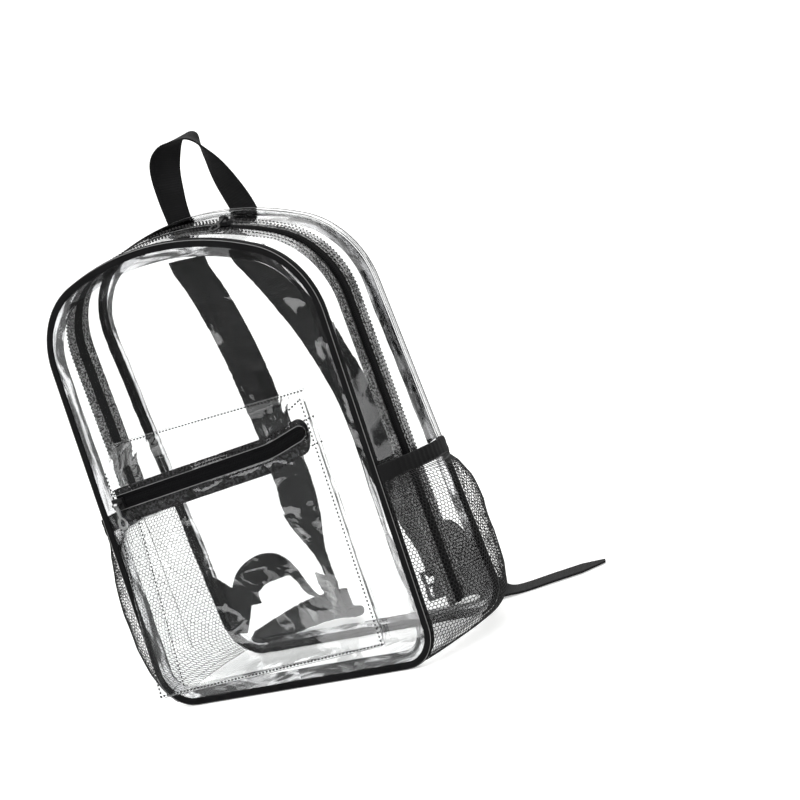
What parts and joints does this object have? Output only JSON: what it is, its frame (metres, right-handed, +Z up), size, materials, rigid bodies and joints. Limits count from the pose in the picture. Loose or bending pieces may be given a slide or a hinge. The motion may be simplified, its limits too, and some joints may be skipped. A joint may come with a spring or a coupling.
{
  "type": "clear stadium backpack",
  "caption": "Small see-through vinyl backpack with black bound edges, zipped main space, zipped front pocket, net side pockets, grab loop and webbing shoulder straps.",
  "frame": {"origin": "middle of the base's underside, on the surface that the bag stands on", "axes": "+Z up, +Y from the front pocket towards the shoulder straps, +X to the right as seen from the front"},
  "size_m": [0.3697, 0.2195, 0.4477],
  "materials": {
    "clear_vinyl": "clear soft vinyl sheet, glossy",
    "black_binding": "black folded woven binding tape",
    "black_webbing": "black ribbed webbing",
    "zip_tape": "black woven zip tape",
    "black_net": "black knitted net",
    "black_plastic": "black moulded plastic",
    "silver_metal": "worn bright plate"
  },
  "bodies": {
    "bag": {"front_panel": "clear_vinyl", "back_panel": "clear_vinyl", "front_binding": "black_binding", "rear_binding": "black_binding", "gusset_front_band": "clear_vinyl", "gusset_rear_band": "clear_vinyl", "base_panel": "clear_vinyl", "main_zip_tape": "zip_tape", "main_zip_chain": "black_plastic", "main_slider": "black_plastic", "pocket_face": "clear_vinyl", "pocket_top": "clear_vinyl", "pocket_gusset": "clear_vinyl", "pocket_zip_tape": "zip_tape", "pocket_zip_chain": "black_plastic", "pocket_slider": "black_plastic", "net_pocket_left": "black_net", "net_pocket_right": "black_net", "net_hem_left": "black_webbing", "net_hem_right": "black_webbing", "top_handle": "black_webbing", "shoulder_strap_left": "black_webbing", "shoulder_strap_right": "black_webbing", "ladder_lock_left": "black_plastic", "ladder_lock_right": "black_plastic", "anchor_tab_left": "black_webbing", "anchor_tab_right": "black_webbing", "lower_webbing_left": "black_webbing", "lower_webbing_right": "black_webbing"},
    "pocket_pull_tab": {"pocket_pull": "silver_metal"},
    "main_pull_tab": {"main_pull": "silver_metal"}
  },
  "joints": [
    {"name": "pocket_pull_hinge", "type": "hinge", "parent": "bag", "child": "pocket_pull_tab", "pos_m": [-0.09889, -0.07605, 0.18466], "axis": [-0.9968, -0.0797, 0], "range_deg": [-8, 165]},
    {"name": "main_pull_hinge", "type": "hinge", "parent": "bag", "child": "main_pull_tab", "pos_m": [0.047, 0, 0.3809], "axis": [-0.9842, 0, 0.1773], "range_deg": [0, 200]}
  ]
}
